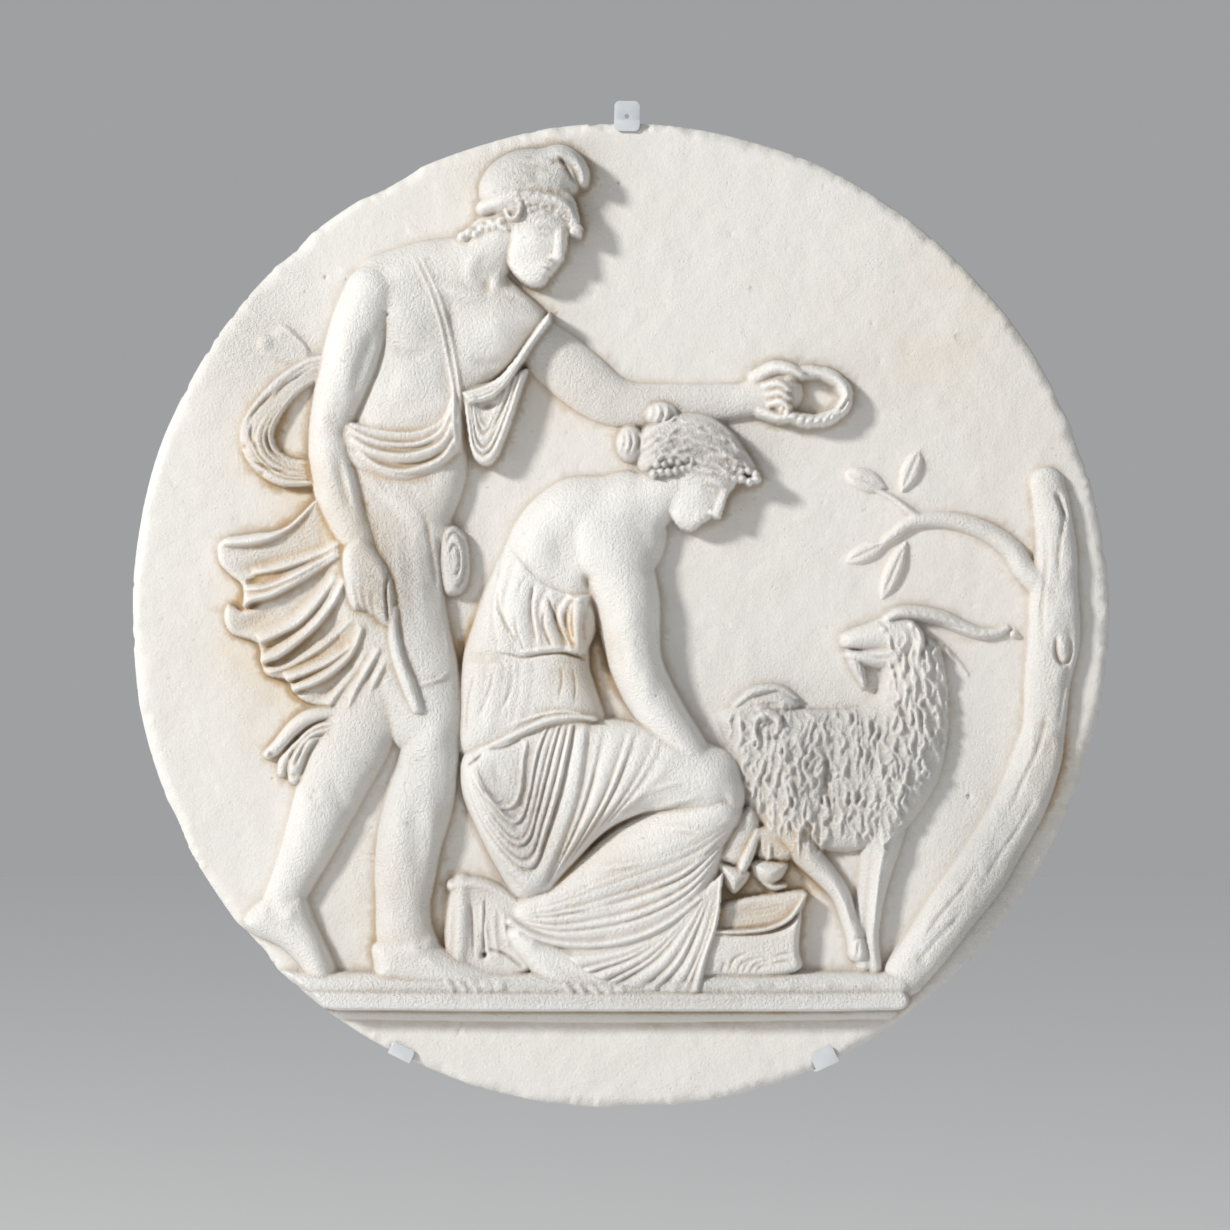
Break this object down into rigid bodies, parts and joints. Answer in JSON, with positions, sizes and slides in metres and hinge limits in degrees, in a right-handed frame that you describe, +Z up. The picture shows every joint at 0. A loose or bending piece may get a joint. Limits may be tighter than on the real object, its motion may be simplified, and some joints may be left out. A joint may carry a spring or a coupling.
{
  "type": "decorative wall plaque",
  "caption": "Round plaster wall plaque in relief: a shepherd with a wreath, a kneeling woman milking a goat and a tree, held by metal clips.",
  "frame": {"origin": "centre of the disc on its flat back, which lies on the wall", "axes": "+Z up the wall, +Y into the wall, so the carved face looks along -Y, and +X to the right as seen from the front"},
  "size_m": [0.88, 0.0915, 0.9125],
  "materials": {
    "plaster": "aged off-white plaster, chalky and matt, ochre in the creases",
    "clip_metal": "pale grey satin coat on thin sheet metal"
  },
  "bodies": {
    "root": {"plaque": "plaster", "top_clip": "clip_metal", "lower_left_clip": "clip_metal", "lower_right_clip": "clip_metal"}
  },
  "joints": []
}
